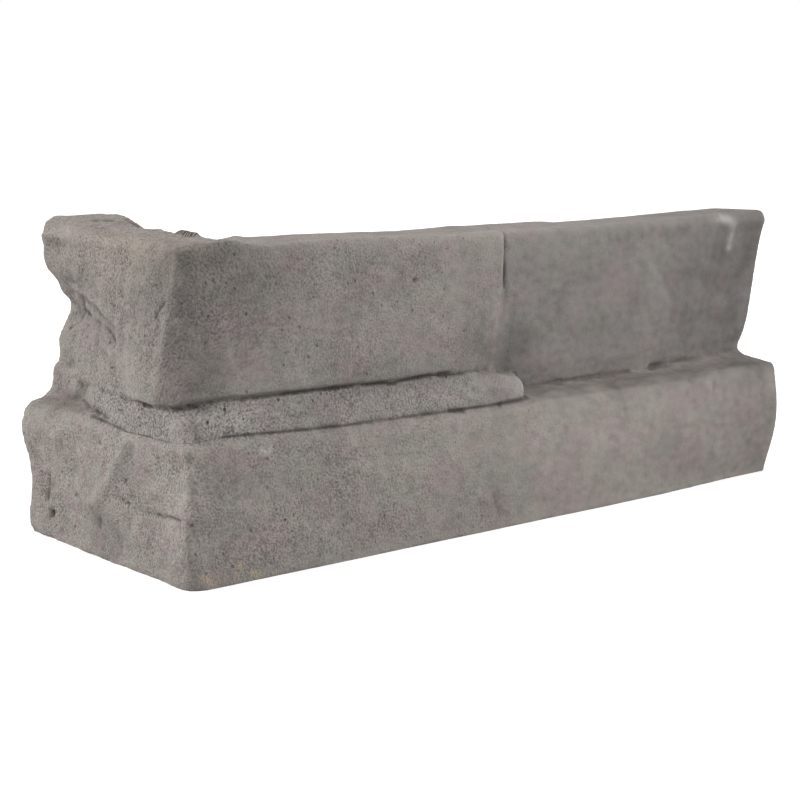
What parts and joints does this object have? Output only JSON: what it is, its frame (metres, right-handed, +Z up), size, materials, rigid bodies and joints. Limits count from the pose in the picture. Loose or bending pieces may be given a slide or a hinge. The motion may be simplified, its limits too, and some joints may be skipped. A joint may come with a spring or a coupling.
{
  "type": "ledge stone veneer corner piece",
  "caption": "L-shaped cast concrete ledge stone unit that wraps the outer corner of a wall, one stacked-stone veneer course high.",
  "frame": {"origin": "middle of the unit's bounding box at its underside", "axes": "+X along the long leg away from the outer corner, +Y along the short leg away from the outer corner, +Z up"},
  "size_m": [0.272, 0.1012, 0.1053],
  "materials": {
    "cast_concrete": "matte"
  },
  "bodies": {
    "root": {"corner_piece": "cast_concrete"}
  },
  "joints": []
}
